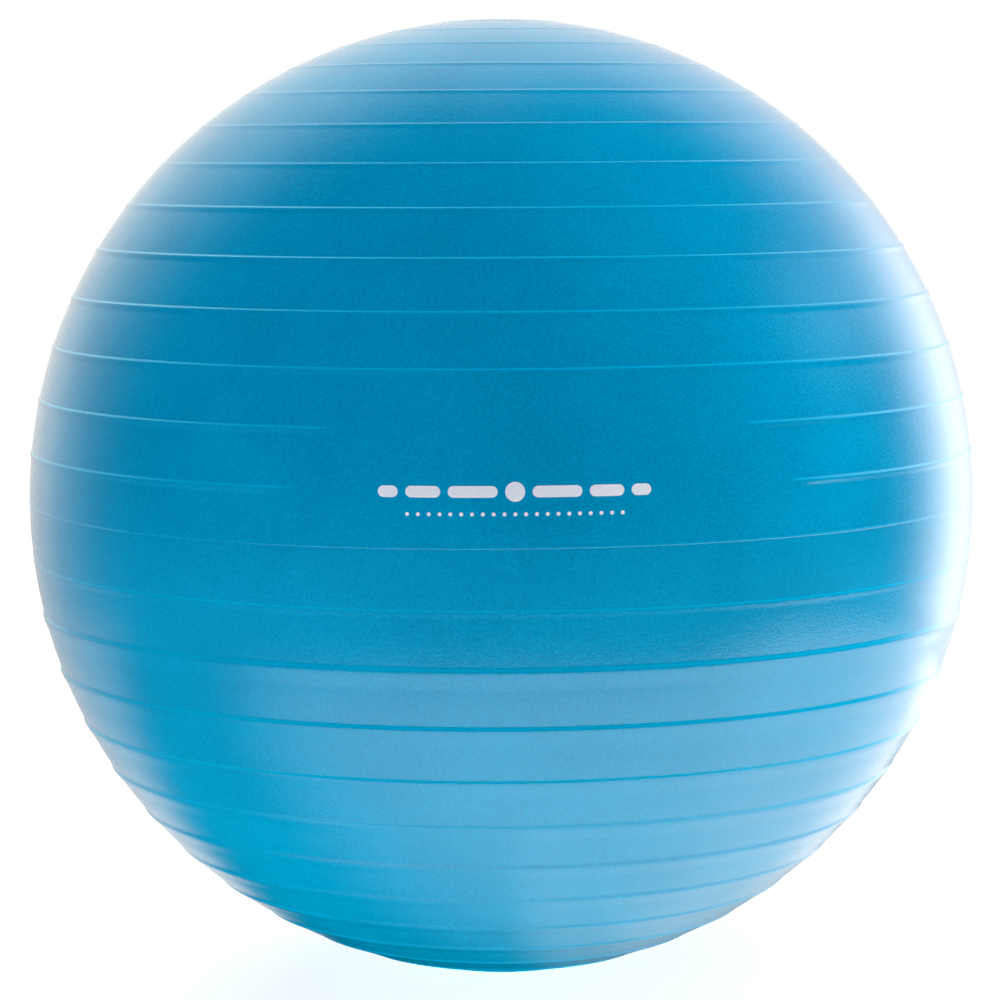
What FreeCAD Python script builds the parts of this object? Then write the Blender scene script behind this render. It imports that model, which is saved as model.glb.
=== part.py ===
import FreeCAD, Part

import math
import os

# An inflatable exercise ball: a hollow soft PVC skin, a valve seat bonded into its top,
# the plug that closes the valve, and the film of ink printed on the front.
# Millimetres. +Z is up, the floor is z = 0 under the middle of the ball, the print faces -Y.

Vector = FreeCAD.Vector

# Skin
GIRTH_DIAMETER = 650.0  # the nominal size, measured round the middle between the ribs
POLE_STRETCH = 1.010  # the ribs hold the girth like hoops, so the ball is a little taller than wide
WALL = 0.9  # the stretched wall of an inflated ball
SQUASH = 1.5  # how far the ball's own weight flattens its underside

# Grip ribs and parting line
BANDS = 28  # bands of equal angle from pole to pole, with a rib or the parting line between them
RIB_WIDTH = 2.6
RIB_HEIGHT = 1.3
SEAM_WIDTH = 0.9
SEAM_HEIGHT = 0.35
SEAM_ANGLE = 0.35  # degrees above the middle, where the two halves of the mould meet
RIB_ROOT = 0.3  # how far the solid of a broken rib goes into the wall

# Ribs that stop each side of the print: rib number above the seam, then where its gap
# starts and ends, in degrees round the ball from the front towards +X
RIB_GAPS = {1: (-27.0, 33.0), 2: (-20.0, 27.5)}

# Valve
SEAT_RADIUS = 13.0  # the hole in the skin, where the round of the seat shows
BOND_LINE = 0.05  # the film of cement between the seat and the skin
FLANGE_RADIUS = 20.0
FLANGE_THICKNESS = 3.2
BOSS_RADIUS = 9.5
BOSS_DEPTH = 16.0  # from the top of the ball down to the end of the boss
BORE_RADIUS = 4.5
RECESS_RADIUS = 9.0
RECESS_DEPTH = 2.5
PLUG_HEAD_RADIUS = 8.4
PLUG_HEAD_THICKNESS = 1.9
PLUG_HEAD_ROUND = 0.6
PLUG_GAP = 0.2  # under the head, so that the head floats just clear of the recess
PLUG_CLEARANCE = 0.05  # round the stem, a running fit
PLUG_LENGTH = 23.0  # from the underside of the head to the tip
PLUG_TIP_RADIUS = 3.2
PLUG_TAPER = 7.0  # the length of the taper to the tip
PLUG_HOLLOW_RADIUS = 2.3
PLUG_HOLLOW_ROOF = 2.0  # solid plastic left under the head
GROOVES = 3
GROOVE_PITCH = 3.4
GROOVE_WIDTH = 1.3
GROOVE_DEPTH = 0.6
FIRST_GROOVE = 3.0  # from the underside of the head to the middle of the first groove

# Print: a disc between mirrored round-ended bars, over a row of dots
INK = 0.2
PRINT_ANGLE = 1.5  # degrees round the ball, towards +X
PRINT_LATITUDE = 6.3  # degrees above the middle
DISC_RADIUS = 6.0
BAR_HEIGHT = 7.0
BAR_LENGTHS = (30.0, 21.0, 12.0)
BAR_SPACE = 4.5
DOT_ROW_DROP = 13.5
DOT_RADIUS = 1.2
DOT_COUNT = 21
DOT_PITCH = 6.5
PRINT_START = 2.0  # in front of the skin, where the print's outlines start
PRINT_REACH = 60.0  # how far they are carried, to cross the skin at the print's ends

GIRTH = GIRTH_DIAMETER / 2
POLE = GIRTH * POLE_STRETCH
MIDDLE = POLE - SQUASH  # height of the middle of the ball
TOP = MIDDLE + POLE
ABOVE = TOP + 5.0  # clear of the top, for cuts that go right through
BAND_ANGLE = 180.0 / BANDS
TOP_RIB = BANDS // 2 - 1


def skin_point(latitude, out=0.0):
    """A point of the outer profile in the XZ plane, moved out along the skin's normal."""
    angle = math.radians(latitude)
    place = Vector(GIRTH * math.cos(angle), 0, MIDDLE + POLE * math.sin(angle))
    normal = Vector(POLE * math.cos(angle), 0, GIRTH * math.sin(angle))
    normal.normalize()
    return place + normal * out


def profile_arc(from_latitude, to_latitude, inset=0.0):
    """The stretch of the ball's elliptical profile between two latitudes, going down."""
    top = Vector(0, 0, MIDDLE + POLE - inset)
    side = Vector(GIRTH - inset, 0, MIDDLE)
    ellipse = Part.Ellipse(top, side, Vector(0, 0, MIDDLE))
    start = math.radians(90.0 - from_latitude)
    end = math.radians(90.0 - to_latitude)
    return Part.ArcOfEllipse(ellipse, start, end).toShape()


def half_angle(width):
    """Half of a ridge's width on the skin, as an angle at the middle of the ball."""
    return math.degrees(width / 2 / GIRTH)


def ridge_arc(latitude, width, height):
    """A rounded ridge that stands on the profile."""
    half = half_angle(width)
    upper = skin_point(latitude + half)
    crest = skin_point(latitude, height)
    lower = skin_point(latitude - half)
    return Part.Arc(upper, crest, lower).toShape()


def whole_ridges():
    """Latitude, width and height of each ridge that goes all the way round, from the top."""
    ridges = []
    for number in range(TOP_RIB, -TOP_RIB - 1, -1):
        if number == 0:
            ridges.append((SEAM_ANGLE, SEAM_WIDTH, SEAM_HEIGHT))
        elif number not in RIB_GAPS:
            ridges.append((number * BAND_ANGLE, RIB_WIDTH, RIB_HEIGHT))
    return ridges


def revolved(edges, angle=360.0):
    """The solid that a closed outline in the XZ plane makes about the Z axis."""
    face = Part.Face(Part.Wire(Part.__sortEdges__(edges)))
    return face.revolve(Vector(0, 0, 0), Vector(0, 0, 1), angle)


def ellipsoid(inset=0.0):
    """The plain ball without its ridges, smaller all round by the inset."""
    top = Vector(0, 0, MIDDLE + POLE - inset)
    bottom = Vector(0, 0, MIDDLE - POLE + inset)
    return revolved([profile_arc(90.0, -90.0, inset), Part.LineSegment(bottom, top).toShape()])


def ribbed_ball():
    """The ball's outer shape with every ridge that goes all the way round."""
    edges = []
    reached = 90.0
    for latitude, width, height in whole_ridges():
        half = half_angle(width)
        edges.append(profile_arc(reached, latitude + half))
        edges.append(ridge_arc(latitude, width, height))
        reached = latitude - half
    edges.append(profile_arc(reached, -90.0))
    edges.append(Part.LineSegment(skin_point(-90.0), skin_point(90.0)).toShape())
    return revolved(edges)


def broken_rib(number, gap_start, gap_end):
    """A rib that leaves a gap, with a root that sinks into the wall."""
    latitude = number * BAND_ANGLE
    half = half_angle(RIB_WIDTH)
    upper = skin_point(latitude + half)
    lower = skin_point(latitude - half)
    inner_upper = skin_point(latitude + half, -RIB_ROOT)
    inner_lower = skin_point(latitude - half, -RIB_ROOT)
    edges = [
        ridge_arc(latitude, RIB_WIDTH, RIB_HEIGHT),
        Part.LineSegment(lower, inner_lower).toShape(),
        Part.LineSegment(inner_lower, inner_upper).toShape(),
        Part.LineSegment(inner_upper, upper).toShape(),
    ]
    rib = revolved(edges, 360.0 - (gap_end - gap_start))
    # the outline starts at +X, and the front is a quarter turn back from it
    rib.rotate(Vector(0, 0, 0), Vector(0, 0, 1), gap_end - 90.0)
    return rib


def cylinder(radius, low, high):
    return Part.makeCylinder(radius, high - low, Vector(0, 0, low))


def slab(low, high):
    """A block wider than the ball, between two heights."""
    side = 2 * GIRTH_DIAMETER
    return Part.makeBox(side, side, high - low, Vector(-side / 2, -side / 2, low))


def air_space():
    """The hollow inside, in the bands of the outside, and flattened where the ball stands."""
    edges = []
    reached = 90.0
    for latitude, width, height in whole_ridges():
        edges.append(profile_arc(reached, latitude, WALL))
        reached = latitude
    edges.append(profile_arc(reached, -90.0, WALL))
    edges.append(Part.LineSegment(skin_point(-90.0, -WALL), skin_point(90.0, -WALL)).toShape())
    return revolved(edges).cut(slab(-POLE, WALL))


def ball_skin():
    """The hollow moulded skin, with its ribs, its parting line and the valve's hole."""
    skin = ribbed_ball()
    for number, (gap_start, gap_end) in RIB_GAPS.items():
        skin = skin.fuse(broken_rib(number, gap_start, gap_end))
    skin = skin.cut(slab(-POLE, 0.0))
    skin = skin.cut(air_space())
    return skin.cut(cylinder(SEAT_RADIUS, MIDDLE, ABOVE))


def valve_seat():
    """The soft insert that is bonded into the skin: neck, flange, boss, bore and recess."""
    flange_low = TOP - WALL - FLANGE_THICKNESS
    neck = cylinder(SEAT_RADIUS - BOND_LINE, flange_low, ABOVE).common(ellipsoid())
    flange = cylinder(FLANGE_RADIUS, flange_low, TOP).common(ellipsoid(WALL + BOND_LINE))
    boss = cylinder(BOSS_RADIUS, TOP - BOSS_DEPTH, flange_low + FLANGE_THICKNESS / 2)
    seat = flange.fuse([neck, boss])
    seat = seat.cut(cylinder(BORE_RADIUS, TOP - BOSS_DEPTH, ABOVE))
    return seat.cut(cylinder(RECESS_RADIUS, TOP - RECESS_DEPTH, ABOVE)).removeSplitter()


def plug_head(under):
    """The flat head, with both of its rims rounded."""
    head = cylinder(PLUG_HEAD_RADIUS, under, under + PLUG_HEAD_THICKNESS)
    rims = [edge for edge in head.Edges if isinstance(edge.Curve, Part.Circle)]
    return head.makeFillet(PLUG_HEAD_ROUND, rims)


def valve_plug():
    """The stopper: head, grooved stem and tapered hollow tip."""
    under = TOP - RECESS_DEPTH + PLUG_GAP
    stem_radius = BORE_RADIUS - PLUG_CLEARANCE
    taper_top = under - PLUG_LENGTH + PLUG_TAPER
    tip = under - PLUG_LENGTH
    stem = cylinder(stem_radius, taper_top, under + PLUG_HEAD_ROUND)
    taper = Part.makeCone(PLUG_TIP_RADIUS, stem_radius, PLUG_TAPER, Vector(0, 0, tip))
    plug = plug_head(under).fuse([stem, taper])
    for number in range(GROOVES):
        middle = under - FIRST_GROOVE - number * GROOVE_PITCH
        low = middle - GROOVE_WIDTH / 2
        high = middle + GROOVE_WIDTH / 2
        ring = cylinder(BORE_RADIUS, low, high)
        plug = plug.cut(ring.cut(cylinder(stem_radius - GROOVE_DEPTH, low, high)))
    hollow = cylinder(PLUG_HOLLOW_RADIUS, tip, under - PLUG_HOLLOW_ROOF)
    return plug.cut(hollow).removeSplitter()


def disc_outline(across, up, radius):
    """A disc's face in the XZ plane, in the print's own two directions."""
    circle = Part.Circle(Vector(across, 0, up), Vector(0, -1, 0), radius)
    return Part.Face(Part.Wire(circle.toShape()))


def bar_outline(start, end, up, height):
    """A bar's face in the XZ plane, with round ends."""
    radius = height / 2
    left = start + radius
    right = end - radius
    edges = [
        Part.LineSegment(Vector(left, 0, up - radius), Vector(right, 0, up - radius)),
        Part.Arc(
            Vector(right, 0, up - radius), Vector(end, 0, up), Vector(right, 0, up + radius)
        ),
        Part.LineSegment(Vector(right, 0, up + radius), Vector(left, 0, up + radius)),
        Part.Arc(
            Vector(left, 0, up + radius), Vector(start, 0, up), Vector(left, 0, up - radius)
        ),
    ]
    return Part.Face(Part.Wire([edge.toShape() for edge in edges]))


def print_outlines():
    """Every face of the print, at the height where it lies on the ball."""
    main_row = MIDDLE + POLE * math.sin(math.radians(PRINT_LATITUDE))
    faces = [disc_outline(0.0, main_row, DISC_RADIUS)]
    start = DISC_RADIUS + BAR_SPACE
    for length in BAR_LENGTHS:
        end = start + length
        faces.append(bar_outline(start, end, main_row, BAR_HEIGHT))
        faces.append(bar_outline(-end, -start, main_row, BAR_HEIGHT))
        start = end + BAR_SPACE
    for number in range(DOT_COUNT):
        across = (number - (DOT_COUNT - 1) / 2) * DOT_PITCH
        faces.append(disc_outline(across, main_row - DOT_ROW_DROP, DOT_RADIUS))
    return faces


def printed_mark():
    """The ink film: each outline carried through the skin, kept only between skin and film."""
    ball = ellipsoid()
    film = ellipsoid(-INK)
    spots = []
    for face in print_outlines():
        face.translate(Vector(0, -GIRTH - PRINT_START, 0))
        prism = face.extrude(Vector(0, PRINT_REACH, 0))
        spots.append(prism.common(film).cut(ball))
    mark = Part.makeCompound(spots)
    mark.rotate(Vector(0, 0, 0), Vector(0, 0, 1), PRINT_ANGLE)
    return mark


NODES = {
    "ball_skin": ball_skin,
    "valve_seat": valve_seat,
    "valve_plug": valve_plug,
    "printed_mark": printed_mark,
}

os.makedirs("parts", exist_ok=True)
for name, make in NODES.items():
    shape = make()
    shape.exportStep("parts/" + name + ".step")
    box = shape.BoundBox
    print(name, "solids", len(shape.Solids), "valid", shape.isValid(), "volume", round(shape.Volume))
    print("  low", [round(v, 3) for v in (box.XMin, box.YMin, box.ZMin)])
    print("  high", [round(v, 3) for v in (box.XMax, box.YMax, box.ZMax)])
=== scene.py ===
# %% [markdown]
# # An inflatable exercise ball
#
# The real thing is a hollow skin of soft PVC, moulded by turning liquid vinyl round inside a
# hot two-part mould, then blown up until it is tight. It is a simple shape with a demanding
# surface: the moulded ribs, the satin sheen and the soft valve at the top are what make it a
# ball for exercise and not a plain sphere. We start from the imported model, which fixes every
# size, and build the visible pieces round it.

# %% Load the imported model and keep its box
import math

import bpy
import numpy as np
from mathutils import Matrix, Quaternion, Vector


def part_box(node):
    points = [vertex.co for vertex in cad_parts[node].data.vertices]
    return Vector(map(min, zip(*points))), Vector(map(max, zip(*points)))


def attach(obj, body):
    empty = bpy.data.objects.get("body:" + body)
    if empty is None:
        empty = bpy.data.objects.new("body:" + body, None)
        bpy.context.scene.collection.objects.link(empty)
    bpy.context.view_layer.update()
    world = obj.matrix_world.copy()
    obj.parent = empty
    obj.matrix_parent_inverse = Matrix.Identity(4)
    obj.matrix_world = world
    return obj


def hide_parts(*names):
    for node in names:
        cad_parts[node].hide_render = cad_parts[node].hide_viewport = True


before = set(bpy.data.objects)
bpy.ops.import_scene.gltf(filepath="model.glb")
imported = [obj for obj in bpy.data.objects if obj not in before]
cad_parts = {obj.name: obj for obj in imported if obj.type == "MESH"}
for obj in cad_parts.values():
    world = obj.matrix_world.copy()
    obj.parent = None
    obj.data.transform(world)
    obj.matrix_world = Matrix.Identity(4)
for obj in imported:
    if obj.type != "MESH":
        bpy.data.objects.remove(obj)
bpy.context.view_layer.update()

# %% [markdown]
# ## The ball's own measures
#
# Everything is in metres, with the floor at z = 0 and the ribs going round the Z axis. The
# ball is a little taller than it is wide, because its ribs act like hoops, so its profile is
# an ellipse. A point of the skin is best named by two angles: its turn round the axis, counted
# from the front towards +X, and its latitude on that ellipse. We read the size back from the
# model's box, so that the two can't drift apart.

# %% Measures worked out from the model
MM = 0.001
SEAM_HEIGHT = 0.35 * MM
WALL = 0.9 * MM
SQUASH = 1.5 * MM

skin_low, skin_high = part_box("ball_skin")
seat_low, seat_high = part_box("valve_seat")
plug_low, plug_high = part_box("valve_plug")

SEAT_RADIUS = 13.0 * MM
GIRTH = skin_high.x - SEAM_HEIGHT
# the model's highest point is the skin at the edge of the valve's hole, not the pole itself
hole_height = math.sqrt(1 - (SEAT_RADIUS / GIRTH) ** 2)
POLE = (skin_high.z + SQUASH) / (1 + hole_height)
MIDDLE = POLE - SQUASH
TOP = MIDDLE + POLE
print("girth radius %.4f, pole radius %.4f, middle %.4f, top %.4f" % (GIRTH, POLE, MIDDLE, TOP))


# %% [markdown]
# ## From a grid of points to a closed mesh
#
# Every piece here is a surface of two parameters: rows that follow a profile, and columns that
# go round. Blender's Spin or Screw tools would do this for a plain lathe shape, but ribs that
# fade out need a height that changes with the turn, so the whole grid is worked out with numpy
# and handed over in one go. A closed grid has either a pole at each end, where a row shrinks
# to one point, or no end at all, when its profile is a loop. The signed volume tells us whether
# the faces look outwards: it is the sum, over the triangles, of the volume between each one
# and the origin, and it comes out negative if the mesh is inside out.


# %% Grid helpers
CORNER_POINTS = 5


def grid_faces(rows, columns, first, loop):
    """Quads between neighbouring rows and columns of a grid whose vertices start at first.
    Columns always wrap round; rows wrap only in a loop."""
    row = np.arange(rows if loop else rows - 1)[:, None]
    column = np.arange(columns)[None, :]
    here = row * columns
    below = (row + 1) % rows * columns
    beside = (column + 1) % columns
    corners = [here + column, here + beside, below + beside, below + column]
    return first + np.stack([np.broadcast_to(c, (len(row), columns)) for c in corners], -1)


def fan_faces(pole, ring_start, columns, flip):
    """Triangles between a pole and the ring of vertices that goes round it."""
    column = np.arange(columns)
    beside = (column + 1) % columns
    around = (beside, column) if flip else (column, beside)
    return np.stack([np.full(columns, pole), ring_start + around[0], ring_start + around[1]], -1)


def as_triangles(quads, fans):
    """Every quad cut in two along a diagonal, followed by the fans' triangles."""
    return np.vstack([quads[:, [0, 1, 2]], quads[:, [0, 2, 3]], fans])


def signed_volume(points, triangles):
    """A sixth of the sum of a . (b x c) over the triangles with corners a, b and c."""
    a, b, c = (points[triangles[:, k]] for k in range(3))
    return float(np.einsum("ij,ij->i", a, np.cross(b, c)).sum() / 6)


def closed_surface(grid, loop=False):
    """Turns a (rows, columns, 3) grid into points, quads and triangles with outward faces.
    Without loop, the first and the last row are poles and become one vertex each."""
    rows, columns = grid.shape[:2]
    middle = grid.mean(axis=(0, 1))
    if loop:
        points = grid.reshape(-1, 3)
        quads = grid_faces(rows, columns, 0, True).reshape(-1, 4)
        fans = np.zeros((0, 3), int)
    else:
        points = np.vstack([grid[0, :1], grid[1:-1].reshape(-1, 3), grid[-1, :1]])
        quads = grid_faces(rows - 2, columns, 1, False).reshape(-1, 4)
        start_fan = fan_faces(0, 1, columns, True)
        end_fan = fan_faces(len(points) - 1, len(points) - 1 - columns, columns, False)
        fans = np.vstack([start_fan, end_fan])
    if signed_volume(points - middle, as_triangles(quads, fans)) < 0:
        quads, fans = quads[:, ::-1], fans[:, ::-1]
    return points, quads, fans


def mesh_object(name, surfaces, material, attributes=None):
    """Joins closed surfaces to one smooth-shaded object. Each surface is points, quads, fans.
    Each attribute is one number for every point, by name."""
    points = np.vstack([s[0] for s in surfaces])
    starts = np.cumsum([0] + [len(s[0]) for s in surfaces])[:-1]
    quads = np.vstack([s[1] + start for s, start in zip(surfaces, starts)])
    fans = np.vstack([s[2] + start for s, start in zip(surfaces, starts)])
    corners = np.concatenate([quads.ravel(), fans.ravel()])
    sizes = np.concatenate([np.full(len(quads), 4), np.full(len(fans), 3)])
    mesh = bpy.data.meshes.new(name)
    mesh.vertices.add(len(points))
    mesh.vertices.foreach_set("co", points.astype(np.float32).ravel())
    mesh.loops.add(len(corners))
    mesh.loops.foreach_set("vertex_index", corners.astype(np.int32))
    mesh.polygons.add(len(sizes))
    mesh.polygons.foreach_set("loop_start", (np.cumsum(sizes) - sizes).astype(np.int32))
    mesh.polygons.foreach_set("use_smooth", np.ones(len(sizes), bool))
    mesh.update(calc_edges=True)
    for key, values in (attributes or {}).items():
        layer = mesh.attributes.new(key, "FLOAT", "POINT")
        layer.data.foreach_set("value", values.astype(np.float32))
    mesh.materials.append(material)
    mesh.validate()
    piece = bpy.data.objects.new(name, mesh)
    bpy.context.scene.collection.objects.link(piece)
    triangles = as_triangles(quads, fans)
    volume = signed_volume(points, triangles) / MM**3
    print("%s: %d triangles, %.0f cubic mm" % (name, len(triangles), volume))
    return piece


def turned(profile, columns):
    """Carries a profile of (radius r, height h) points round the Z axis: at a turn t a point is
    at r sin t, -r cos t and h."""
    turn = np.linspace(0, 2 * np.pi, columns, endpoint=False)
    radius = profile[:, :1]
    height = np.broadcast_to(profile[:, 1:], (len(profile), columns))
    return np.stack([radius * np.sin(turn), -radius * np.cos(turn), height], -1)


def rounded(profile, radius, loop=False):
    """Rounds every corner of a profile: each corner C becomes a short curve from A to B, the
    points a radius before and after it, by the formula (1-s)(1-s) A + 2s(1-s) C + s s B."""
    before = np.roll(profile, 1, axis=0) - profile
    after = np.roll(profile, -1, axis=0) - profile
    ends = []
    for side in (before, after):
        length = np.linalg.norm(side, axis=1, keepdims=True)
        reach = np.minimum(radius, 0.45 * length)
        ends.append(profile + side / np.maximum(length, 1e-12) * reach)
    s = np.linspace(0, 1, CORNER_POINTS)[None, :, None]
    start, end = ends[0][:, None], ends[1][:, None]
    curves = (1 - s) ** 2 * start + 2 * s * (1 - s) * profile[:, None] + s**2 * end
    if loop:
        return curves.reshape(-1, 2)
    return np.vstack([profile[:1], curves[1:-1].reshape(-1, 2), profile[-1:]])


# %% [markdown]
# ## Colours and shader nodes
#
# Screens and paint charts give colours as sRGB hex values, and the renderer adds light in
# linear values, so one function turns the first into the second. A second small function adds
# any shader node with its settings and its links, which keeps each material to a few readable
# lines. A noise texture's scale is one over the size of its blobs, in metres.


# %% Colour and node helpers
def colour(hex_value):
    """An sRGB hex colour as linear red, green, blue, alpha: a channel c becomes
    c / 12.92 near black, and ((c + 0.055) / 1.055) to the power 2.4 above that."""
    srgb = np.array([int(hex_value[k : k + 2], 16) / 255 for k in (1, 3, 5)])
    linear = np.where(srgb <= 0.04045, srgb / 12.92, ((srgb + 0.055) / 1.055) ** 2.4)
    return (*linear.tolist(), 1.0)


def add_node(tree, kind, inputs=None, **settings):
    """Adds a node. Each input takes either a value or the output socket that feeds it."""
    node = tree.nodes.new(kind)
    for key, value in settings.items():
        setattr(node, key, value)
    for key, value in (inputs or {}).items():
        if isinstance(value, bpy.types.NodeSocket):
            tree.links.new(value, node.inputs[key])
        else:
            node.inputs[key].default_value = value
    return node


def new_material(name):
    """An empty material with a Principled surface. Returns it, its tree and its surface."""
    material = bpy.data.materials.new(name)
    material.use_nodes = True
    tree = material.node_tree
    tree.nodes.clear()
    surface = add_node(tree, "ShaderNodeBsdfPrincipled")
    add_node(tree, "ShaderNodeOutputMaterial", {"Surface": surface.outputs["BSDF"]})
    return material, tree, surface


print("half-bright screen grey is linear", round(colour("#808080")[0], 3))

# %% [markdown]
# ## Satin PVC
#
# Flexible PVC from a rotating mould takes the faint pebble of the mould's blasted wall. The eye
# reads that as satin: reflections are there, but their edges are soft and their middle is
# sandy. So the surface gets a low roughness that varies with the grain, a fine grain and a
# broader pebble in its normals, and a colour that varies by about a tenth, with the grain and
# with a slow drift, where the wall is a touch thicker or thinner. A real grain of a quarter of
# a millimetre would be lost in the picture, so it is drawn six times as coarse.
#
# Vinyl lets a little light through. A rib catches it on two sides, and its ledge faces the light
# from above, so the ledge looks paler than the wall. Light inside the material could show that,
# but slowly and with a soft edge, so the ledge gets a painted highlight instead: a paler colour, by
# an attribute of the mesh.


# %% The skin's material
GRAIN = 1.5 * MM
GRAIN_DEPTH = 0.17 * MM
PEBBLE = 5.0 * MM
PEBBLE_DEPTH = 0.06 * MM
DRIFT = 90 * MM
GRAIN_SHARE = 0.7


def satin_pvc():
    """Soft PVC from a blasted mould: to the eye a deep blue under a sandy, soft-edged sheen."""
    material, tree, surface = new_material("flexible_pvc_satin")
    place = add_node(tree, "ShaderNodeTexCoord").outputs["Object"]
    grain = add_node(
        tree, "ShaderNodeTexNoise", {"Vector": place, "Scale": 1 / GRAIN, "Roughness": 0.6}
    ).outputs["Fac"]
    drift = add_node(tree, "ShaderNodeTexNoise", {"Vector": place, "Scale": 1 / DRIFT})
    blend = add_node(
        tree, "ShaderNodeMix", {"Factor": GRAIN_SHARE, "A": drift.outputs["Fac"], "B": grain}
    )
    ramp = add_node(tree, "ShaderNodeValToRGB", {"Fac": blend.outputs["Result"]})
    ramp.color_ramp.elements[0].position = 0.3
    ramp.color_ramp.elements[0].color = colour("#007FA8")
    ramp.color_ramp.elements[1].position = 0.7
    ramp.color_ramp.elements[1].color = colour("#009BC7")
    # the ledge attribute is a painted highlight: where it is 1 the colour turns to the paler
    # #00AED6
    ledge = add_node(tree, "ShaderNodeAttribute", attribute_name="ledge")
    # a Mix node's colours are its inputs 6 and 7 and its output 2
    mixed = {0: ledge.outputs["Fac"], 6: ramp.outputs["Color"], 7: colour("#00AED6")}
    highlight_mix = add_node(tree, "ShaderNodeMix", mixed, data_type="RGBA")
    tree.links.new(highlight_mix.outputs[2], surface.inputs["Base Color"])
    pebble = add_node(
        tree, "ShaderNodeTexNoise", {"Vector": place, "Scale": 1 / PEBBLE, "Detail": 1.0}
    ).outputs["Fac"]
    coarse = add_node(
        tree, "ShaderNodeBump", {"Height": pebble, "Strength": 0.5, "Distance": PEBBLE_DEPTH}
    )
    fine = add_node(
        tree,
        "ShaderNodeBump",
        {
            "Height": grain,
            "Strength": 1.0,
            "Distance": GRAIN_DEPTH,
            "Normal": coarse.outputs["Normal"],
        },
    )
    tree.links.new(fine.outputs["Normal"], surface.inputs["Normal"])
    rough = add_node(
        tree,
        "ShaderNodeMapRange",
        {"Value": grain, "From Min": 0.3, "From Max": 0.7, "To Min": 0.13, "To Max": 0.2},
    )
    tree.links.new(rough.outputs["Result"], surface.inputs["Roughness"])
    surface.inputs["IOR"].default_value = 1.5
    return material


skin_pvc = satin_pvc()
print("skin material:", skin_pvc.name, "with", len(skin_pvc.node_tree.nodes), "nodes")

# %% [markdown]
# ## The skin
#
# The skin is one closed shell: the outside with its ribs, the round hole for the valve, and
# the plain inside. On a real ball the ribs are cut into the mould, 28 equal bands from pole to
# pole, with the parting line of the two mould halves where the middle rib would be. The two
# ribs above the parting line stop each side of the print. Blown up, a rib is no longer an even
# bead: its upper side is a short ledge, and below its crest the wall runs back slowly, like
# siding on a house. That is why each rib has one bright or one dark line, and not a pair. From
# the second rib below the parting line down, the ribs stand higher, their ledges and run backs
# are wider, and they sag by up to 0.9 degrees. The first rib below is only a faint one.
#
# We could model a plain ball and add ribs with a displacement, but a ledge is 2 to 3 mm wide on
# a ball of 650, so an even mesh would need millions of faces. Instead the rows of the grid are
# placed one by one, close together over each ledge and wide apart between ribs, and the columns
# are closer in front, where the ribs stop at the print. Smooth shading averages the faces that
# meet at a point, so a ledge would tilt the shading of the whole wall beside it. One extra row
# just beyond each foot keeps that tilt within about a millimetre.

# %% Ridges: where they are and how high they stand at each turn
BANDS = 28
BAND = 180.0 / BANDS
TOP_RIB = BANDS // 2 - 1
HIGH_RIB = 1.0 * MM
HIGH_LEDGE = 2.2 * MM
HIGH_RUN_BACK = 4.0 * MM
LOW_RIB = 1.25 * MM
LOW_LEDGE = 3.3 * MM
LOW_RUN_BACK = 12.0 * MM
FIRST_LOW_RIB = 0.28
SAG = 0.9
SWELL = 0.05 * MM
SEAM_HALF = 0.9 * MM
SEAM_LATITUDE = 0.35
FRONT_HALF = 66.0
FRONT_COLUMNS = 156
BACK_COLUMNS = 76
SEED = 28
UNEVENNESS = 0.12
HEIGHT_WAVES = 12
SWAY = 0.06
SWAY_WAVES = 7

# turns in degrees: the rib starts to fade, is gone, comes back, is whole again
RIB_GAPS = {1: (-31.0, -21.0, 33.5, 36.5), 2: (-24.0, -18.0, 28.0, 31.0)}
# where it comes back, a rib stands higher by this share, which eases off over so many degrees
END_SWELL = 0.6
END_SWELL_TURN = 18

numbers = np.arange(TOP_RIB, -TOP_RIB - 1, -1)
front_turns = np.linspace(-FRONT_HALF, FRONT_HALF, FRONT_COLUMNS)
back_turns = np.linspace(FRONT_HALF, 360.0 - FRONT_HALF, BACK_COLUMNS)[1:-1]
turns = np.concatenate([front_turns, back_turns])
turns = np.where(turns > 180.0, turns - 360.0, turns)


def smoothstep(start, end, value):
    """0 at start and before it, 1 at end and past it, and 3tt - 2ttt between them, where t is
    the share of the way. With end below start it falls as the value grows."""
    t = np.clip((value - start) / (end - start), 0, 1)
    return t * t * (3 - 2 * t)


# the ribs below number -1 start to sag, and from number -4 down they do so in full
sagging = SAG * smoothstep(1.5, 4, -numbers)
latitudes = np.where(numbers == 0, SEAM_LATITUDE, numbers * BAND - sagging)


def waves(rng, count, strongest):
    """A slow random line round the ball, at most strongest: the sum of count sine waves, the
    n-th with n periods, a random phase, and a random size divided by n."""
    order = np.arange(1, count + 1)
    phase = rng.uniform(0, 2 * np.pi, count)
    size = rng.normal(0, 1, count) / order
    angle = np.radians(turns)[:, None] * order + phase
    line = (np.sin(angle) * size).sum(axis=1)
    return strongest * line / np.abs(line).max()


def ridge_heights():
    """Height of every ridge at every turn: the nominal height, which loses 65% towards the top
    and 30% towards the bottom, less a slow unevenness, and with gaps at the print."""
    rng = np.random.default_rng(SEED)
    high = HIGH_RIB * (1 - 0.65 * smoothstep(4, 7.5, numbers))
    low = LOW_RIB * (1 - 0.3 * smoothstep(6, 10, -numbers))
    low = low * np.where(numbers == -1, FIRST_LOW_RIB, 1)
    nominal = np.where(numbers == 0, SEAM_HEIGHT, np.where(numbers > 0, high, low))
    heights = nominal[:, None] * np.ones(len(turns))
    for row, number in enumerate(numbers):
        heights[row] *= 1 - UNEVENNESS * (1 + waves(rng, HEIGHT_WAVES, 1.0))
        if number in RIB_GAPS:
            fades, gone, back, whole = RIB_GAPS[number]
            heights[row] *= 1 - smoothstep(fades, gone, turns) + smoothstep(back, whole, turns)
            easing = smoothstep(whole + END_SWELL_TURN, whole, turns)
            heights[row] *= 1 + END_SWELL * easing * (turns > 0)
    return heights


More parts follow.
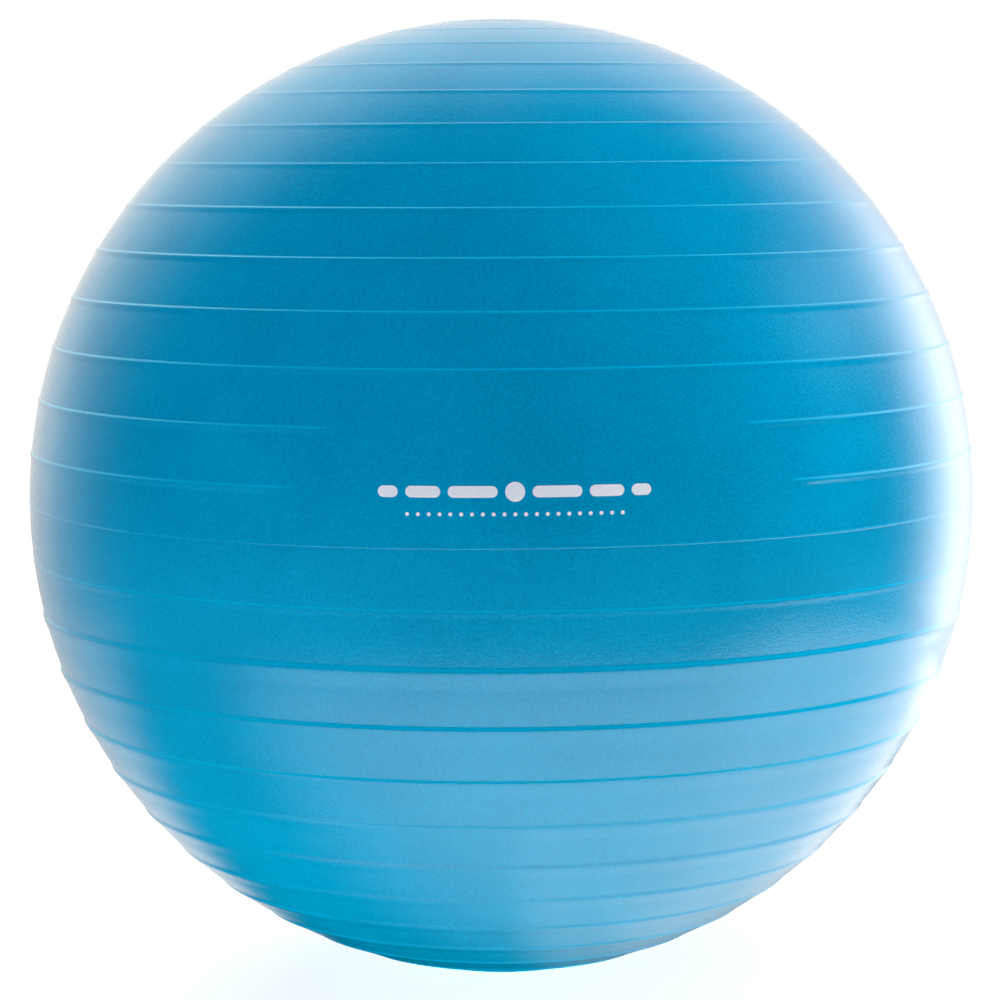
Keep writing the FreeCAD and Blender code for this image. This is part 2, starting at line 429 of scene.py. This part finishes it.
def ridge_sways():
    """How far each ridge wanders up and down, in degrees of latitude."""
    rng = np.random.default_rng(SEED + 1)
    return np.array([waves(rng, SWAY_WAVES, SWAY) for _ in numbers])


heights = ridge_heights()
sways = ridge_sways()
print("ridges:", len(numbers), "columns:", len(turns), "lowest mm:", round(heights.min() / MM, 2))


# %% The skin's surface
# shares of the way from the crest to the foot; a share past 1 is the extra row beyond the foot
LEDGE_ROWS = np.array([1.15, 1.0, 0.82, 0.66, 0.5, 0.34, 0.18, 0.0])
RUN_BACK_ROWS = np.array([0.07, 0.2, 0.42, 0.68, 1.0, 1.1])
ROWS_BETWEEN = 1
LAST_ROWS = 6
INSIDE_ROWS = 14
RIM_LATITUDE = math.degrees(math.acos(SEAT_RADIUS / GIRTH))
RIM_ROUND = 0.35 * MM
FLAT_FOLD = 0.4 * MM
PALE_HEIGHT = 0.4 * MM


def skin_point(latitude, turn, out):
    """The ball's ellipse, turned: radius G cos(latitude) and height M + P sin(latitude), moved
    out along the ellipse's normal."""
    lat = np.radians(latitude)
    az = np.radians(turn)
    nr, nz = POLE * np.cos(lat), GIRTH * np.sin(lat)
    size = np.hypot(nr, nz)
    radius = GIRTH * np.cos(lat) + out * nr / size
    height = MIDDLE + POLE * np.sin(lat) + out * nz / size
    return np.stack([radius * np.sin(az), -radius * np.cos(az), height + 0 * az], -1)


def resting(points, floor):
    """Flattens what would go through the floor, with a soft fold round the flat: a height h
    above the floor becomes half of h plus the root of h h + e e, where e is the fold's size."""
    h = points[..., 2] - floor
    points[..., 2] = floor + (h + np.sqrt(h * h + FLAT_FOLD * FLAT_FOLD)) / 2
    return points


def section_sides(number):
    """How far a ridge reaches above and below its crest."""
    if number == 0:
        return SEAM_HALF, SEAM_HALF
    return (HIGH_LEDGE, HIGH_RUN_BACK) if number >= -1 else (LOW_LEDGE, LOW_RUN_BACK)


def outer_rows():
    """Latitudes of the rows from the valve's hole down to the lower pole, and for each row its
    nearest ridge and its place on it: 1 to 0 down the ledge, 0 to -1 down the run back, and
    just beyond 1 and -1 on the extra rows. The middle of the ledge lies at the rib's latitude,
    and so does the crest of the parting line."""
    rows, owner, across = [], [], []
    reached = RIM_LATITUDE
    place = np.concatenate([LEDGE_ROWS, -RUN_BACK_ROWS])
    for k, number in enumerate(numbers):
        above, below = section_sides(number)
        crest = 0.0 if number == 0 else -above / 2
        along = crest + place * np.where(place > 0, above, below)
        ridge = latitudes[k] + np.degrees(along / GIRTH)
        between = np.linspace(reached, ridge[0], ROWS_BETWEEN + 2)[1:-1]
        rows += [between, ridge]
        owner += [np.full(len(between) + len(ridge), k)]
        across += [np.ones(len(between)), place]
        reached = ridge[-1]
    last = np.linspace(reached, -90.0, LAST_ROWS + 1)[1:]
    rows.append(last)
    owner.append(np.full(len(last), len(numbers) - 1))
    across.append(-np.ones(len(last)))
    return np.concatenate(rows), np.concatenate(owner), np.concatenate(across)


def ledge_painted_highlight(owner, across):
    """How much painted highlight each point gets, from 0 to 1: the square of a sine across the
    ledge, so nothing at its two ends, and less where the ridge is under 0.4 mm high. It loses 80%
    towards the top, 20% from the second rib below the parting line, and the rest near the bottom."""
    steep = np.where(across > 0, np.sin(across * np.pi) ** 2, 0)[:, None]
    paler = 1 - 0.8 * smoothstep(5, 9, numbers) - 0.2 * smoothstep(1, 2, -numbers)
    paler = paler * (1 - smoothstep(4, 6.5, -numbers))
    return steep * np.minimum(heights[owner] / PALE_HEIGHT, 1) * paler[owner][:, None]


def skin_grid():
    """Rows from the lower pole of the inside, up to the hole, over its rim and down the
    outside, and how much painted highlight each point gets. A ridge's section is the square of a
    cosine, on a short side up and a long side down, so that its crest and its feet are soft.
    Between two ridges the wall swells by the square of a sine."""
    rows, owner, across = outer_rows()
    across = np.clip(across, -1, 1)
    position = np.interp(-rows, -latitudes, np.arange(len(numbers)))
    lower = np.floor(position).astype(int).clip(0, len(numbers) - 2)
    share = (position - lower)[:, None]
    sway = sways[lower] * (1 - share) + sways[lower + 1] * share
    fade = np.clip((90.0 - np.abs(rows)) / BAND, 0, 1)[:, None]
    section = np.cos(across * np.pi / 2)[:, None] ** 2
    swell = SWELL * np.sin(position * np.pi)[:, None] ** 2 * fade
    out = heights[owner] * section + swell - SWELL
    outside = skin_point(rows[:, None] + sway * fade, turns, out)
    outside = resting(outside, 0.0)
    inside_latitudes = np.linspace(-90.0, RIM_LATITUDE, INSIDE_ROWS)[:, None]
    inside = resting(skin_point(inside_latitudes, turns, -WALL), WALL)
    edge = np.degrees(RIM_ROUND / GIRTH)
    edge_latitudes = RIM_LATITUDE - edge * np.array([0, 0, 0.3, 1])[:, None]
    edge_depths = -RIM_ROUND * np.array([1, 0.35, 0.08, 0])[:, None]
    edge_rows = skin_point(edge_latitudes, turns, edge_depths)
    unseen = np.zeros((len(inside) + len(edge_rows), len(turns)))
    painted_highlight = np.concatenate([unseen, ledge_painted_highlight(owner, across)])
    return np.concatenate([inside, edge_rows, outside]), painted_highlight


shape, painted_highlight = skin_grid()
# one value a point, with the two pole rows as one point each, as the mesh has them
on_points = np.concatenate([painted_highlight[0, :1], painted_highlight[1:-1].ravel(), painted_highlight[-1, :1]])
# the ledge attribute carries the painted highlight on the ribs' ledges
skin = mesh_object("exercise_ball_skin", [closed_surface(shape)], skin_pvc, {"ledge": on_points})
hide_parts("ball_skin")
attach(skin, "ball")

# %% [markdown]
# ## The valve seat
#
# The thin skin can't grip a plug, so a thick soft insert is cemented into its top: a flange
# under the skin, a neck that fills the hole, and a boss with the bore. It has a shallow recess,
# so that the plug's head lies flush and can't be kicked out. All of it is round, so it is one
# closed profile carried round the axis, with every edge softened as flexible PVC leaves a mould.
# It is the same vinyl as the skin but cast in its own tool, so its grain is shallower, its
# sheen duller and its blue a little deeper, and the fine ring round it shows where the two are
# joined.

# %% The valve seat's material and shape
BOND_LINE = 0.05 * MM
RECESS_RADIUS = 9.0 * MM
RECESS_DEPTH = 2.5 * MM
FLANGE_RADIUS = seat_high.x
FLANGE_BOTTOM = TOP - 4.1 * MM
BOSS_RADIUS = 9.5 * MM
BORE_RADIUS = 4.5 * MM
SEAT_ROUND = 0.45 * MM
SEAT_COLUMNS = 128


def cast_pvc():
    """Soft PVC cast in a metal tool: to the eye a dull, even, slightly cloudy blue."""
    material, tree, surface = new_material("flexible_pvc_cast_insert")
    place = add_node(tree, "ShaderNodeTexCoord").outputs["Object"]
    cloud = add_node(tree, "ShaderNodeTexNoise", {"Vector": place, "Scale": 1 / (5 * MM)})
    ramp = add_node(tree, "ShaderNodeValToRGB", {"Fac": cloud.outputs["Fac"]})
    ramp.color_ramp.elements[0].color = colour("#0077B4")
    ramp.color_ramp.elements[1].color = colour("#0084C2")
    tree.links.new(ramp.outputs["Color"], surface.inputs["Base Color"])
    ripple = add_node(tree, "ShaderNodeTexNoise", {"Vector": place, "Scale": 1 / (1.2 * MM)})
    bump = add_node(
        tree,
        "ShaderNodeBump",
        {"Height": ripple.outputs["Fac"], "Strength": 0.4, "Distance": 0.04 * MM},
    )
    tree.links.new(bump.outputs["Normal"], surface.inputs["Normal"])
    surface.inputs["Roughness"].default_value = 0.3
    surface.inputs["IOR"].default_value = 1.5
    return material


def skin_height(radius, depth=0.0):
    """Height of the skin, or of a surface so deep under it, at a radius r from the axis: the
    middle plus P times the root of 1 - (r/G)^2, with P and G less by the depth."""
    return MIDDLE + (POLE - depth) * math.sqrt(1 - (radius / (GIRTH - depth)) ** 2)


def seat_profile():
    """Straight runs: up the recess, over the collar, down the neck, out under the skin along
    the flange and back, down the boss, and up the bore to the recess's floor."""
    neck = SEAT_RADIUS - BOND_LINE
    under_skin = WALL + BOND_LINE
    return np.array(
        [
            (RECESS_RADIUS, TOP - RECESS_DEPTH),
            (RECESS_RADIUS, skin_height(RECESS_RADIUS)),
            (neck, skin_height(neck)),
            (neck, skin_height(neck, under_skin)),
            (FLANGE_RADIUS, skin_height(FLANGE_RADIUS, under_skin)),
            (FLANGE_RADIUS, FLANGE_BOTTOM),
            (BOSS_RADIUS, FLANGE_BOTTOM),
            (BOSS_RADIUS, seat_low.z),
            (BORE_RADIUS, seat_low.z),
            (BORE_RADIUS, TOP - RECESS_DEPTH),
        ]
    )


seat_grid = turned(rounded(seat_profile(), SEAT_ROUND, loop=True), SEAT_COLUMNS)
seat = mesh_object("valve_seat_insert", [closed_surface(seat_grid, loop=True)], cast_pvc())
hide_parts("valve_seat")
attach(seat, "ball")

# %% [markdown]
# ## The valve plug
#
# The plug is a cheap, clever little thing of white polyethylene: a flat head to push with a
# thumb, and a hollow tapered stem whose rings grip the soft bore. Injection moulding leaves a
# small gate mark in the middle of the head. Again one profile makes all of it, this time with
# both ends on the axis: down over the head, along the grooves, round the tip and up the hollow.
# Polyethylene is milky, so a little light goes into it and comes out again, which subsurface
# scattering gives. Its colour is set as a light grey, because the studio's lights are strong
# enough to wash the dish and the gate mark out of a pure white.

# %% The valve plug's material and shape
HEAD_RADIUS = plug_high.x
HEAD_THICKNESS = 1.9 * MM
HEAD_DISH = 0.32 * MM
UNDER_HEAD = plug_high.z - HEAD_THICKNESS
STEM_RADIUS = BORE_RADIUS - 0.05 * MM
TIP_RADIUS = 3.2 * MM
TAPER = 7.0 * MM
HOLLOW_RADIUS = 2.3 * MM
HOLLOW_ROOF = 2.0 * MM
GATE_HEIGHT = 0.14 * MM
GATE_TOP_RADIUS = 0.75 * MM
GATE_FOOT_RADIUS = 0.9 * MM
DISH_FLOOR_RADIUS = 6.1 * MM
DISH_EDGE_RADIUS = 6.8 * MM
PLUG_ROUND = 0.3 * MM
PLUG_COLUMNS = 96
GROOVES = 3
GROOVE_PITCH = 3.4 * MM
GROOVE_HALF = 0.65 * MM
GROOVE_DEPTH = 0.6 * MM
FIRST_GROOVE = 3.0 * MM


def moulded_polyethylene():
    """White polyethylene from a mould: to the eye a waxy, milky white with a broad sheen."""
    material, tree, surface = new_material("polyethylene_moulded_white")
    place = add_node(tree, "ShaderNodeTexCoord").outputs["Object"]
    cloud = add_node(tree, "ShaderNodeTexNoise", {"Vector": place, "Scale": 1 / (3 * MM)})
    ramp = add_node(tree, "ShaderNodeValToRGB", {"Fac": cloud.outputs["Fac"]})
    ramp.color_ramp.elements[0].color = colour("#B4B7B5")
    ramp.color_ramp.elements[1].color = colour("#BEC0BE")
    tree.links.new(ramp.outputs["Color"], surface.inputs["Base Color"])
    texture = add_node(tree, "ShaderNodeTexNoise", {"Vector": place, "Scale": 1 / (0.35 * MM)})
    bump = add_node(
        tree,
        "ShaderNodeBump",
        {"Height": texture.outputs["Fac"], "Strength": 0.3, "Distance": 0.03 * MM},
    )
    tree.links.new(bump.outputs["Normal"], surface.inputs["Normal"])
    surface.inputs["Roughness"].default_value = 0.42
    surface.inputs["IOR"].default_value = 1.51
    surface.inputs["Subsurface Weight"].default_value = 0.25
    surface.inputs["Subsurface Radius"].default_value = (1.0, 1.0, 0.9)
    surface.inputs["Subsurface Scale"].default_value = 1.0 * MM
    return material


def plug_profile():
    """Straight runs from the gate mark outwards over the head, down the stem with a square
    groove at every pitch, in along the taper, round the tip and up the hollow to its roof."""
    head = plug_high.z
    points = [
        (0.0, head - HEAD_DISH + GATE_HEIGHT),
        (GATE_TOP_RADIUS, head - HEAD_DISH + GATE_HEIGHT),
        (GATE_FOOT_RADIUS, head - HEAD_DISH),
        (DISH_FLOOR_RADIUS, head - HEAD_DISH),
        (DISH_EDGE_RADIUS, head),
        (HEAD_RADIUS, head),
        (HEAD_RADIUS, UNDER_HEAD),
        (STEM_RADIUS, UNDER_HEAD),
    ]
    for number in range(GROOVES):
        middle = UNDER_HEAD - FIRST_GROOVE - number * GROOVE_PITCH
        bottom = STEM_RADIUS - GROOVE_DEPTH
        points += [
            (STEM_RADIUS, middle + GROOVE_HALF),
            (bottom, middle + GROOVE_HALF),
            (bottom, middle - GROOVE_HALF),
            (STEM_RADIUS, middle - GROOVE_HALF),
        ]
    points += [
        (STEM_RADIUS, plug_low.z + TAPER),
        (TIP_RADIUS, plug_low.z),
        (HOLLOW_RADIUS, plug_low.z),
        (HOLLOW_RADIUS, UNDER_HEAD - HOLLOW_ROOF),
        (0.0, UNDER_HEAD - HOLLOW_ROOF),
    ]
    return np.array(points)


plug_grid = turned(rounded(plug_profile(), PLUG_ROUND), PLUG_COLUMNS)
plug = mesh_object("valve_plug_stopper", [closed_surface(plug_grid)], moulded_polyethylene())
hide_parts("valve_plug")
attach(plug, "plug")

# %% [markdown]
# ## The print
#
# The front carries a screen-printed graphic: here a disc between mirrored bars, over a row of
# dots. Paint on the skin's material would be quicker, but ink is a separate film with its own
# edge and its own duller sheen, so each spot is a thin closed piece that follows the ball. A
# spot is a grid in polar form: its rows shrink the outline towards the middle, over the top,
# round the edge and back under, and every point is then laid on the ellipse.

# %% The print's material and shape
INK = 0.12 * MM
PRINT_TURN = 1.5
PRINT_LATITUDE = 6.3
DISC_RADIUS = 6.0 * MM
BAR_HEIGHT = 7.0 * MM
BAR_LENGTHS = (30.0 * MM, 21.0 * MM, 12.0 * MM)
BAR_SPACE = 4.5 * MM
DOT_ROW_DROP = 13.5 * MM
DOT_RADIUS = 1.2 * MM
DOT_COUNT = 21
DOT_PITCH = 6.5 * MM
END_POINTS = 15
OUTLINE_STEP = 1.5 * MM


def screen_ink():
    """Ink pressed through a mesh: to the eye a pale matt grey, bluer where the film is thin."""
    material, tree, surface = new_material("screen_ink_pale_grey")
    place = add_node(tree, "ShaderNodeTexCoord").outputs["Object"]
    film = add_node(
        tree,
        "ShaderNodeTexNoise",
        {"Vector": place, "Scale": 1 / (1.4 * MM), "Detail": 3.0, "Roughness": 0.7},
    )
    ramp = add_node(tree, "ShaderNodeValToRGB", {"Fac": film.outputs["Fac"]})
    ramp.color_ramp.elements[0].position = 0.22
    ramp.color_ramp.elements[0].color = colour("#9FBFD6")
    ramp.color_ramp.elements[1].position = 0.42
    ramp.color_ramp.elements[1].color = colour("#E2E4E9")
    tree.links.new(ramp.outputs["Color"], surface.inputs["Base Color"])
    mesh_marks = add_node(
        tree, "ShaderNodeTexNoise", {"Vector": place, "Scale": 1 / (0.5 * MM)}
    )
    bump = add_node(
        tree,
        "ShaderNodeBump",
        {"Height": mesh_marks.outputs["Fac"], "Strength": 0.4, "Distance": 0.03 * MM},
    )
    tree.links.new(bump.outputs["Normal"], surface.inputs["Normal"])
    surface.inputs["Roughness"].default_value = 0.5
    surface.inputs["IOR"].default_value = 1.48
    return material


def laid_on_ball(across, up, out):
    """Carries a flat (across, up) straight back onto the ellipse, moved out along its normal:
    depth is G times the root of 1 - (across/G)^2 - (up from the middle/P)^2."""
    high = up - MIDDLE
    depth = GIRTH * np.sqrt(1 - (across / GIRTH) ** 2 - (high / POLE) ** 2)
    normal = np.stack([across / GIRTH**2, -depth / GIRTH**2, high / POLE**2], -1)
    normal /= np.linalg.norm(normal, axis=-1, keepdims=True)
    flat = np.stack([across, -depth, up], -1) + normal * np.asarray(out)[..., None]
    angle = math.radians(PRINT_TURN)
    turn = np.array(
        [[math.cos(angle), math.sin(angle), 0], [-math.sin(angle), math.cos(angle), 0], [0, 0, 1]]
    )
    return flat @ turn


def ink_spot(middle, up, length, height):
    """A round-ended bar, or a disc if its length is its height. Its outline is a half circle at
    each end and points a step apart along the straight sides, so that these follow the ball;
    its rows go from the middle over the edge and back under."""
    radius = height / 2
    reach = length / 2 - radius
    bend = np.linspace(-np.pi / 2, np.pi / 2, END_POINTS)
    side = np.linspace(reach, -reach, 2 + int(2 * reach / OUTLINE_STEP))[1:-1]
    end_x, end_z = reach + radius * np.cos(bend), radius * np.sin(bend)
    if reach <= 0:
        end_x, end_z = end_x[:-1], end_z[:-1]
    edge_x = np.concatenate([end_x, side, -end_x, -side])
    edge_z = np.concatenate([end_z, 0 * side + radius, -end_z, 0 * side - radius])
    shrink = np.array([0, 0.3, 0.6, 0.85, 0.97, 1, 1, 0.85, 0.5, 0])[:, None]
    out = INK * np.array([1, 1, 1, 1, 0.95, 0.6, -0.5, -0.7, -0.7, -0.7])[:, None]
    across = middle + shrink * edge_x
    return closed_surface(laid_on_ball(across, up + shrink * edge_z, out + 0 * across))


def print_spots():
    """The disc, then the bars in mirrored pairs outwards from it, then the row of dots."""
    row = MIDDLE + POLE * math.sin(math.radians(PRINT_LATITUDE))
    spots = [ink_spot(0.0, row, 2 * DISC_RADIUS, 2 * DISC_RADIUS)]
    start = DISC_RADIUS + BAR_SPACE
    for length in BAR_LENGTHS:
        for side in (1, -1):
            spots.append(ink_spot(side * (start + length / 2), row, length, BAR_HEIGHT))
        start += length + BAR_SPACE
    for number in range(DOT_COUNT):
        across = (number - (DOT_COUNT - 1) / 2) * DOT_PITCH
        spots.append(ink_spot(across, row - DOT_ROW_DROP, 2 * DOT_RADIUS, 2 * DOT_RADIUS))
    return spots


graphic = mesh_object("printed_graphic", print_spots(), screen_ink())
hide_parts("printed_mark")
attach(graphic, "ball")

# %% [markdown]
# ## Camera
#
# A product shot of a ball is taken from a few ball-widths away with a long lens, almost level,
# so that the outline stays a circle. The camera looks at the middle of the ball from just
# above, and is turned by a third of a degree, as a hand-set tripod is.

# %% Camera
DISTANCE = 7.306 * GIRTH
ELEVATION = math.radians(6.0)
LENS = 122.9
SENSOR_WIDTH = 36.0
ROLL = math.radians(0.3)
AIM = Vector((-0.8 * MM, 0, MIDDLE - 3.3 * MM))

camera_data = bpy.data.cameras.new("camera")
camera_data.lens = LENS
camera_data.sensor_width = SENSOR_WIDTH
camera = bpy.data.objects.new("camera", camera_data)
bpy.context.scene.collection.objects.link(camera)
back = Vector((0, -math.cos(ELEVATION), math.sin(ELEVATION)))
camera.location = Vector((0, 0, MIDDLE)) + back * DISTANCE
facing = (AIM - camera.location).to_track_quat("-Z", "Y")
camera.rotation_mode = "QUATERNION"
camera.rotation_quaternion = facing @ Quaternion((0, 0, 1), -ROLL)
bpy.context.scene.camera = camera
print("camera at", [round(v, 3) for v in camera.location], "lens", LENS, "mm")

# %% [markdown]
# ## Studio
#
# Satin plastic is drawn by what it mirrors, and coloured by what falls on it, so each of the
# two gets its own lights. Cards that only reflections can see stand for the room: a tall pale
# backdrop behind, which gives the bright rim, a softbox at the right, which gives the broad
# white band, a dark room in front, which keeps the blue deep there, and the lit floor, which
# gives the sandy pale patch on the lower half. How bright a card is goes into its points as an
# attribute, by a formula, so its edges can be as soft as those of real light on paper. Fills
# kept out of the reflections then light the colour from the front, both sides, the top and the
# back left, and one more lies on the floor, for the light that white paper sends back up.

# %% Cards that the ball mirrors
BALL_CENTRE = Vector((0, 0, MIDDLE))
ROOM_RADIUS = 2.0
ROOM_BOTTOM = -24.0
ROOM_TOP = 89.0
ROOM_COLUMNS = 240
ROOM_ROWS = 120
ROOM_LEVEL = 0.93
BACKDROP = 1.4
SOFTBOX = 2.5
SPILL = 0.9
FLOOR_START = 0.01
FLOOR_REACH = 1.05
FLOOR_ROWS = 110
FLOOR_FRONT = 2.3
FLOOR_BACK_LEFT = 1.1
FLOOR_BACK_RIGHT = 1.5


def mirrored_light():
    """Slightly warm emission, as strong as the card's own attribute says."""
    material = bpy.data.materials.new("mirrored_light")
    material.use_nodes = True
    tree = material.node_tree
    tree.nodes.clear()
    level = add_node(tree, "ShaderNodeAttribute", attribute_name="glow")
    inputs = {"Color": colour("#FFEDE0"), "Strength": level.outputs["Fac"]}
    glow = add_node(tree, "ShaderNodeEmission", inputs)
    add_node(tree, "ShaderNodeOutputMaterial", {"Surface": glow.outputs[0]})
    return material


def card(name, grid, glow, material):
    """An open sheet round the Z axis that only reflections see, as bright as glow at each point."""
    rows, columns = grid.shape[:2]
    mesh = bpy.data.meshes.new(name)
    faces = grid_faces(rows, columns, 0, False).reshape(-1, 4)
    mesh.from_pydata(grid.reshape(-1, 3).tolist(), [], faces.tolist())
    layer = mesh.attributes.new("glow", "FLOAT", "POINT")
    layer.data.foreach_set("value", glow.astype(np.float32).ravel())
    mesh.materials.append(material)
    sheet = bpy.data.objects.new(name, mesh)
    bpy.context.scene.collection.objects.link(sheet)
    sheet.visible_camera = False
    sheet.visible_diffuse = False
    sheet.visible_transmission = False
    sheet.visible_shadow = False
    print("%s: %d faces, brightest %.2f" % (name, len(faces), glow.max()))


def room_glow(turn, height):
    """Brightness at a turn and a height in degrees: the room's level times the sum of four
    lights. The backdrop fades out from 138 to 92 degrees left and from 129 to about 97 right,
    is a third dimmer low down on the left, and ends at 75 degrees up behind the ball and lower
    at its sides. The softbox lies on its right end below about 20 degrees up, its spill round
    97 right and 30 up, and a low glow round 100 right, more than 12 degrees down."""
    left = smoothstep(-92, -138, turn) * (turn < 0) * (1 - 0.35 * smoothstep(2, -14, height))
    right = smoothstep(99 - 4 * smoothstep(0, 25, height), 129, turn)
    top = 75 - np.where(turn > 0, 0.5, 0.22) * (180 - np.abs(turn))
    backdrop = BACKDROP * (left + right) * smoothstep(top + 14, top - 14, height)
    softbox = right * smoothstep(156, 133, turn) * smoothstep(38, 6, height)
    spill = smoothstep(72, 94, turn) * smoothstep(118, 100, turn)
    spill = spill * smoothstep(12, 27, height) * smoothstep(47, 33, height)
    low = smoothstep(60, 100, turn) * smoothstep(130, 100, turn) * smoothstep(-12, -24, height)
    return ROOM_LEVEL * (backdrop + SOFTBOX * softbox + SPILL * spill + low)


def floor_glow(turn, radius):
    """Brightness at a turn in degrees and a radius in metres. In front the lit patch is 1.2 a
    metre brighter to the right and 1.6 a metre dimmer to the left, a quarter dimmer past 80
    degrees, and up to 0.45 dimmer close to the ball on the right. It is shaded where the ball
    stands in its own light, which is where f + 0.3 x on the left, or f + 1.6 x on the right, is
    under a third, with f counted to the front, and it ends at a radius of 0.66, or 0.91 past 75
    degrees. Behind the ball the floor is lit on both sides, on the left from near the ball and
    on the right from farther out."""
    x = radius * np.sin(np.radians(turn))
    front = radius * np.cos(np.radians(turn))
    lit = front + np.where(x > 0, 1.6, 0.3) * x
    edge = 0.66 + 0.25 * smoothstep(30, 75, turn)
    patch = FLOOR_FRONT + np.where(x > 0, 1.2, 1.6) * x
    patch = patch * (1 - 0.25 * smoothstep(50, 80, turn))
    patch = patch * (1 - 0.45 * smoothstep(0.34, 0.16, radius) * smoothstep(0.02, 0.08, x))
    patch = patch * smoothstep(0.1, 0.36, lit) * smoothstep(edge + 0.06, edge - 0.06, radius)
    behind = np.abs(turn) > 90
    left = smoothstep(-80, -108, turn) * smoothstep(0.05, 0.25, radius)
    left = left * (turn < 0) * (1 - 0.2 * smoothstep(0.38, 0.6, radius))
    right = smoothstep(96, 125, turn) * (turn > 0) * smoothstep(0.6, 0.9, radius)
    sides = FLOOR_BACK_LEFT * left + FLOOR_BACK_RIGHT * right
    return np.clip(patch, 0, None) + behind * sides


card_light = mirrored_light()
room_turn = np.linspace(-180, 180, ROOM_COLUMNS, endpoint=False)
room_height = np.linspace(ROOM_BOTTOM, ROOM_TOP, ROOM_ROWS)[:, None]
room_level = np.sin(np.radians(room_height))
room_round = np.cos(np.radians(room_height))
room_grid = ROOM_RADIUS * np.stack(
    [
        room_round * np.sin(np.radians(room_turn)),
        -room_round * np.cos(np.radians(room_turn)),
        room_level + 0 * room_turn,
    ],
    -1,
)
room_grid[..., 2] += MIDDLE
card("room_card", room_grid, room_glow(room_turn, room_height), card_light)

patch_radius = np.linspace(FLOOR_START, FLOOR_REACH, FLOOR_ROWS)[:, None]
patch_grid = np.stack(
    [
        patch_radius * np.sin(np.radians(room_turn)),
        -patch_radius * np.cos(np.radians(room_turn)),
        0 * patch_radius * room_turn - 0.5 * MM,
    ],
    -1,
)
card("floor_card", patch_grid, floor_glow(room_turn, patch_radius), card_light)

# %% Fills, floor and background
FLOOR_RADIUS = 6.0
GLOW_NEAR = 0.85
GLOW_START = 0.2
GLOW_END = 1.2
FILL_DISTANCE = 2.2
FILL_SIDE = 1.2
BOUNCE_SIDE = 2.4
BOUNCE = 1.3

# name, turn and height in degrees, brightness, tint
FILLS = [
    ("fill_front", -28, 2, 4.0, "#D0DEFF"),
    ("fill_left", -75, 5, 0.8, "#FFFFFA"),
    ("fill_right", 88, 5, 8.4, "#F5F5FF"),
    ("fill_right_high", 95, 45, 5.7, "#FAFAFA"),
    ("fill_back_left", -140, 45, 12.0, "#FFFFE8"),
    ("fill_top", 0, 75, 5.4, "#F7F7FF"),
]


def fill(name, turn, height, distance, side, radiance, tint):
    """A square light that faces the ball and is kept out of its reflections. Its power is its
    brightness times its area times pi, so that a bigger one of the same brightness isn't
    dimmer."""
    data = bpy.data.lights.new(name, "AREA")
    data.shape = "SQUARE"
    data.size = side
    data.energy = radiance * side * side * math.pi
    data.color = colour(tint)[:3]
    light = bpy.data.objects.new(name, data)
    bpy.context.scene.collection.objects.link(light)
    az, el = math.radians(turn), math.radians(height)
    away = Vector((math.sin(az) * math.cos(el), -math.cos(az) * math.cos(el), math.sin(el)))
    light.location = BALL_CENTRE + away * distance
    light.rotation_euler = away.to_track_quat("Z", "Y").to_euler()
    light.visible_camera = False
    light.visible_glossy = False
    data.cycles.use_multiple_importance_sampling = False
    print("%s: %.1f W" % (name, data.energy))


for name, turn, height, radiance, tint in FILLS:
    fill(name, turn, height, FILL_DISTANCE, FILL_SIDE, radiance, tint)
# straight below the ball, a millimetre above the floor, facing up
fill("floor_bounce", 0, -90, MIDDLE - MM, BOUNCE_SIDE, BOUNCE, "#FFFFF4")


def floor_material():
    """Matt white paper, as the camera is meant to see it: a lit grey and a glow that add up to
    white, with less glow near the ball. So it runs into the white background without a line.
    Only the camera sees the glow; the ball is lit from below by the bounce fill."""
    material, tree, surface = new_material("studio_floor_matt_white")
    surface.inputs["Base Color"].default_value = colour("#9C9C9C")
    surface.inputs["Roughness"].default_value = 0.9
    surface.inputs["Specular IOR Level"].default_value = 0.0
    place = add_node(tree, "ShaderNodeTexCoord").outputs["Object"]
    away = add_node(tree, "ShaderNodeVectorMath", {0: place}, operation="LENGTH")
    seen = add_node(
        tree,
        "ShaderNodeMapRange",
        {
            "Value": away.outputs["Value"],
            "From Min": GLOW_START,
            "From Max": GLOW_END,
            "To Min": GLOW_NEAR,
        },
        interpolation_type="SMOOTHSTEP",
    )
    path = add_node(tree, "ShaderNodeLightPath")
    strength = add_node(
        tree,
        "ShaderNodeMapRange",
        {"Value": path.outputs["Is Camera Ray"], "To Min": 0.0, "To Max": seen.outputs["Result"]},
    )
    surface.inputs["Emission Color"].default_value = colour("#FFFFFF")
    tree.links.new(strength.outputs["Result"], surface.inputs["Emission Strength"])
    return material


def studio_floor():
    """One flat face with a round outline, its points at even angles on a circle."""
    angle = np.linspace(0, 2 * np.pi, 96, endpoint=False)
    ring = FLOOR_RADIUS * np.stack([np.cos(angle), np.sin(angle), 0 * angle], -1)
    mesh = bpy.data.meshes.new("studio_floor")
    mesh.from_pydata(ring.tolist(), [], [list(range(len(ring)))])
    mesh.materials.append(floor_material())
    sheet = bpy.data.objects.new("studio_floor", mesh)
    bpy.context.scene.collection.objects.link(sheet)
    sheet.visible_glossy = False


def studio_background():
    """Plain white to the camera, and almost dark to everything that the ball mirrors."""
    world = bpy.data.worlds.new("studio")
    bpy.context.scene.world = world
    world.use_nodes = True
    tree = world.node_tree
    tree.nodes.clear()
    path = add_node(tree, "ShaderNodeLightPath")
    strength = add_node(
        tree,
        "ShaderNodeMapRange",
        {"Value": path.outputs["Is Camera Ray"], "To Min": 0.005, "To Max": 1.0},
    )
    sky = add_node(
        tree,
        "ShaderNodeBackground",
        {"Color": colour("#FFFFFF"), "Strength": strength.outputs["Result"]},
    )
    add_node(tree, "ShaderNodeOutputWorld", {"Surface": sky.outputs[0]})


studio_floor()
studio_background()
bpy.context.scene.view_settings.view_transform = "Standard"
